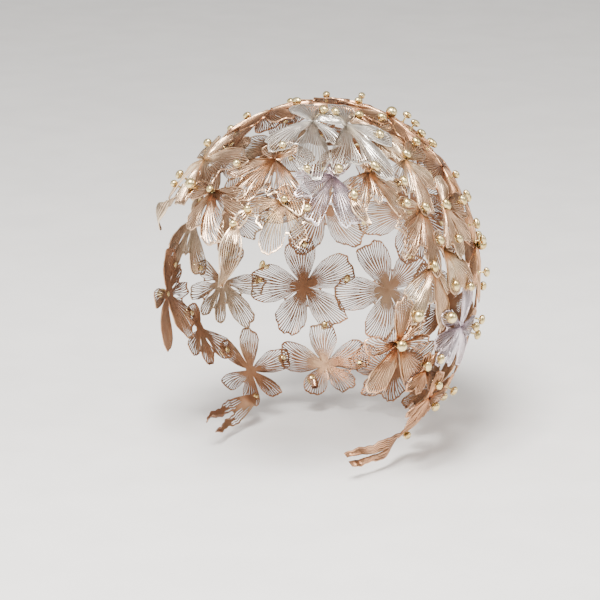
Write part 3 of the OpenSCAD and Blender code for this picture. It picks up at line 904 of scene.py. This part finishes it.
def leaf_columns(half, along, shares, forked):
    """How far every column lies to the left of the leaf's axis, and half the width of its fork's opening."""
    side = 2 * shares[:, None] - 1
    if not forked:
        return side * half, np.zeros_like(along)
    parted = np.clip((along - FORK_START) / (1 - FORK_START), 0, 1)
    widest = np.interp(FORK_START, along, half)
    ragged = sum(size * np.sin(rate * parted) for size, rate in PRONG_WAVES)
    outer = np.where(along < FORK_START, half, widest * (1 - PRONG_NARROWING * parted + ragged))
    prong = np.where(along < FORK_START, half, widest * (1 - parted) ** 0.9 + PRONG_TIP * parted)
    inner = outer - np.minimum(prong, outer)
    return np.sign(side) * inner + side * (outer - inner), inner


def leaf_slits(along, spacing, veins, slit_ends, chance):
    """Half the width of the gap at every line of a leaf, and where it is cut through."""
    first = np.searchsorted(along, chance.uniform(*LEAF_SLIT_START, veins + 1))[:, None]
    last = np.searchsorted(along, chance.uniform(*slit_ends, veins + 1))[:, None]
    step = np.arange(LEAF_ROWS - 1)
    is_open = (step >= first) & (step < last) & (spacing[:-1] > LEAF_SLIT_PITCH)
    is_open[[0, -1]] = False
    inside = np.zeros((veins + 1, LEAF_ROWS), bool)
    inside[:, 1:-1] = is_open[:, 1:] & is_open[:, :-1]
    bell = arch(np.clip((along - BELL_START) / BELL_LENGTH, 0, 1)) ** 0.7
    gap = np.minimum(GROOVE, LEAF_GROOVE_SHARE * spacing) * np.ones((veins + 1, 1))
    gap = np.where(inside, np.maximum(gap, 0.5 * SLIT_SHARE * spacing * bell), gap)
    gap[[0, -1]] = 0
    return gap, is_open


def leaf_mesh(plate, chance, forked):
    """A leaf or a forked spray, with veins along it, slits in its middle and a curled tip."""
    form = LEAF_FORMS[plate.node]
    right_edge, left_edge = leaf_edges(plate, LEAF_ROWS)
    along = np.linspace(0, 1, LEAF_ROWS)
    width = np.linalg.norm(left_edge - right_edge, axis=1)
    across = (left_edge - right_edge) / np.maximum(width, TINY)[:, None]
    across[0], across[-1] = across[1], across[-2]
    half = np.maximum(width / 2, LEAF_TIP)
    veins = 2 * max(2, round(width.max() / LEAF_PITCH))
    shares = np.arange(2 * veins + 1) / (2 * veins)
    offsets, parting = leaf_columns(half, along, shares, forked)
    place = np.clip(0.5 + offsets / width.max(), 0, 1)
    tip = smooth((along - TIP_START) / (1 - TIP_START))
    bent = offsets + form.tip_left * tip**2
    flat = (right_edge + left_edge) / 2 + across * bent[..., None]
    lines, middles = flat[0::2], flat[1::2]
    gap, is_open = leaf_slits(along, 2 * half / veins, veins, form.slit_ends, chance)
    if forked:
        is_open[veins // 2] = along[:-1] >= FORK_START
        gap[veins // 2] = np.maximum(0.5 * GROOVE, parting)
    start_flat = lines + across * gap[..., None]
    end_flat = lines - across * gap[..., None]
    swings = np.radians(np.linspace(*ranges.get(plate.node, (0, 0)), SWING_STEPS))
    rooted = smooth((along - ROOT_START) / ROOT_FADE)

    def height(points, share):
        """The height of columns that lie at these shares of the way from the right edge to the left one."""
        formed = form.bow * arch(along) * (BOW_AT_EDGE + (1 - BOW_AT_EDGE) * arch(share))
        formed = formed + rooted * (form.right_lift * (1 - share) + form.left_lift * share)
        formed = formed + form.tip_out * tip**1.5
        formed = formed + LEAF_RIPPLE * rooted * wave(RIPPLE_COUNT * along + share)
        free = np.ones(points.shape[:2])
        for swing in swings:
            turn = np.array([[math.cos(swing), math.sin(swing)], [-math.sin(swing), math.cos(swing)]])
            free = np.minimum(free, free_share(plate, points @ turn))
        return plate.level + np.maximum(formed, 0) * free

    # The sheet's faces: the lines sink into grooves, apart from the leaf's two edges
    underside = height(lines, place[0::2])
    line_top = underside + SHEET - GROOVE_DEPTH
    line_top[[0, -1]] += RIM_CREST + GROOVE_DEPTH
    crest_top = height(middles, place[1::2]) + SHEET + CREST
    sides = [
        plate.in_space(start_flat, line_top),
        plate.in_space(end_flat, line_top),
        plate.in_space(start_flat, underside),
        plate.in_space(end_flat, underside),
    ]
    # Low marks paint shade in the grooves and beneath, high marks paint highlights on the crests and the
    # edges
    line_mark = np.full((veins + 1, 1), GROOVE_MARK)
    line_mark[[0, -1]] = LEAF_EDGE_MARK
    marks = [line_mark, line_mark, UNDERSIDE_MARK, UNDERSIDE_MARK, CREST_MARK]
    return ribbed_sheet(plate.node, sides, plate.in_space(middles, crest_top), is_open, False, marks)


for number, plate in enumerate(plates):
    chance = np.random.default_rng(SEED + number)
    if plate.node.endswith("_flower"):
        mesh = flower_mesh(plate, chance)
    else:
        mesh = leaf_mesh(plate, chance, plate.node.endswith("_spray"))
    add_piece(plate.node + "_sheet", mesh, plate.body, plate.node, slot_of[plate.node])


# Rivets


def lathe(profile, place, axis, turns):
    """A closed solid of revolution: profile is [radius, height] from one end of the axis to the other."""
    side = np.cross(axis, [0, 0, 1.0])
    side /= np.linalg.norm(side)
    other = np.cross(axis, side)
    angles = np.arange(turns) / turns * TURN
    rings = np.array(profile)[1:-1]
    radius = rings[:, 0][:, None] * np.ones(turns)
    points = (
        place
        + axis * rings[:, 1][:, None, None]
        + side * (radius * np.cos(angles))[..., None]
        + other * (radius * np.sin(angles))[..., None]
    )
    poles = [place + axis * profile[0][1], place + axis * profile[-1][1]]
    points = np.concatenate([points.reshape(-1, 3), poles])
    grid = np.arange(len(rings) * turns).reshape(len(rings), turns)
    following = np.roll(grid, -1, axis=1)
    faces = faces_of(grid[:-1], following[:-1], following[1:], grid[1:])
    start, end = np.full(turns, len(points) - 2), np.full(turns, len(points) - 1)
    faces += faces_of(start, following[0], grid[0])
    faces += faces_of(end, grid[-1], following[-1])
    return points, faces


def rivet_parts(points, stalk):
    """The lathe profile of one rivet, where its bead starts in it, its place and its axis, from its solid."""
    middle = points.mean(axis=0)
    axis = middle / HEAD**2
    axis /= np.linalg.norm(axis)
    heights = (points - middle) @ axis
    radii = np.linalg.norm(np.cross(points - middle, axis), axis=1)
    bead = radii.max()
    low, high = heights.min(), heights.max()
    tail = radii[heights < low + TAIL_FOOT].max()
    on_shoulder = (abs(radii - SHOULDER) < SHOULDER_STRAY) & (heights > low + TAIL_CLEAR)
    shoulder = heights[on_shoulder].min()
    centre = high - bead
    profile = [(tail * share, low + rise) for share, rise in TAIL]
    profile += [(PIN, low + TAIL_HEIGHT), (PIN, shoulder)]
    profile += [(radius, shoulder + rise) for radius, rise in SHOULDER_PROFILE]
    start = -math.acos((STALK_NECK if stalk else NECK) / bead)
    if stalk:
        foot, top = shoulder + STALK_FOOT, centre + bead * math.sin(start)
        for share in np.linspace(0, 1, STALK_STEPS):
            ripple = STALK_RIPPLE * math.sin(share * TURN * STALK_RIPPLES)
            profile.append((STALK + ripple, foot + (top - foot) * share))
    stem = len(profile) - 1
    for angle in np.linspace(start, math.pi / 2, BEAD_STEPS)[:-1]:
        profile.append((bead * math.cos(angle), centre + bead * math.sin(angle)))
    profile.append((0, high))
    return profile, stem, middle, axis


def build_rivets(node, oval, stalk):
    """All the rivets of one node as one piece; the beads of the sides and the back are oval."""
    points, faces, total = [], [], 0
    chance = np.random.default_rng(len(rivets[node]))
    for solid in rivets[node]:
        profile, stem, middle, axis = rivet_parts(solid, stalk)
        new_points, new_faces = lathe(profile, middle, axis, RIVET_FACETS)
        longer = chance.uniform(*oval) if middle[1] > FRONT else 1
        lean = math.radians(chance.uniform(-LEAN, LEAN))
        across = np.cross([0, 0, 1.0], axis)
        across /= np.linalg.norm(across)
        length_way = math.cos(lean) * np.cross(axis, across) + math.sin(lean) * across
        bead = new_points[stem * RIVET_FACETS :]
        bead += (longer - 1) * ((bead - middle) @ length_way)[:, None] * length_way
        faces += [[corner + total for corner in face] for face in new_faces]
        points.append(new_points)
        total += len(new_points)
    mesh = bpy.data.meshes.new(node)
    mesh.from_pydata(np.concatenate(points).tolist(), [], faces)
    shade_smooth(mesh)
    add_piece(node + "_cast", mesh, body_of[node], node, slot_of[node])


build_rivets("centre_beads", ROUND, False)
build_rivets("joint_beads", OVAL, False)
build_rivets("bud_stamens", OVAL_BUD, True)

loops = frame["nodes"]["hair_loops"]
loops.data.materials.clear()
loops.data.materials.append(MATERIALS["loop_wire"])


# Floor, light and camera


def direction(azimuth, elevation):
    """The direction from the object to somebody at that azimuth and elevation."""
    a, e = math.radians(azimuth), math.radians(elevation)
    return Vector((math.sin(a) * math.cos(e), -math.cos(a) * math.cos(e), math.sin(e)))


def add_softbox(name, azimuth, elevation, distance, size, power, colour):
    """A square area light that faces the object."""
    data = bpy.data.lights.new(name, "AREA")
    data.size = size
    data.energy = power
    data.color = colour
    light = bpy.data.objects.new(name, data)
    bpy.context.scene.collection.objects.link(light)
    light.location = direction(azimuth, elevation) * distance
    light.rotation_mode = "QUATERNION"
    light.rotation_quaternion = direction(azimuth, elevation).to_track_quat("Z", "Y")


def build_floor():
    """A wide pale floor under the lowest point of the cap."""
    material, nodes, links, shader, place = new_material("studio_floor")
    mottle = noise(nodes, links, place, scale=30, detail=4)
    tint = ramp(nodes, links, mottle, list(zip((0.35, 0.65), FLOOR_SHADES)))
    links.new(tint, shader.inputs["Base Color"])
    shader.inputs["Roughness"].default_value = FLOOR_ROUGHNESS
    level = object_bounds()[0].z - FLOOR_DROP
    corners = [(x * FLOOR_HALF, y * FLOOR_HALF, level) for x, y in ((-1, -1), (1, -1), (1, 1), (-1, 1))]
    mesh = bpy.data.meshes.new("studio_floor")
    mesh.from_pydata(corners, [], [(0, 1, 2, 3)])
    mesh.materials.append(material)
    floor = bpy.data.objects.new("studio_floor", mesh)
    bpy.context.scene.collection.objects.link(floor)


def build_camera():
    """The camera at the studio's viewing angle, aimed beside the centre of the head form."""
    back = direction(STUDIO_AZIMUTH, STUDIO_ELEVATION)
    right = Vector((math.cos(math.radians(STUDIO_AZIMUTH)), math.sin(math.radians(STUDIO_AZIMUTH)), 0))
    up = back.cross(right)
    camera = bpy.data.objects.new("camera", bpy.data.cameras.new("camera"))
    bpy.context.scene.collection.objects.link(camera)
    camera.data.lens = CAMERA_LENS
    camera.data.sensor_width = CAMERA_SENSOR
    camera.data.clip_start = CAMERA_CLIP
    camera.location = right * AIM_RIGHT + up * AIM_UP + back * CAMERA_DISTANCE
    camera.rotation_mode = "QUATERNION"
    camera.rotation_quaternion = back.to_track_quat("Z", "Y")
    bpy.context.scene.camera = camera


def build_sky():
    """An even pale light from all sides."""
    world = bpy.data.worlds.new("studio")
    world.use_nodes = True
    background = world.node_tree.nodes["Background"]
    background.inputs["Color"].default_value = SKY
    background.inputs["Strength"].default_value = SKY_STRENGTH
    bpy.context.scene.world = world


build_floor()
build_camera()
build_sky()
for name, settings in SOFTBOXES.items():
    add_softbox(name, *settings)
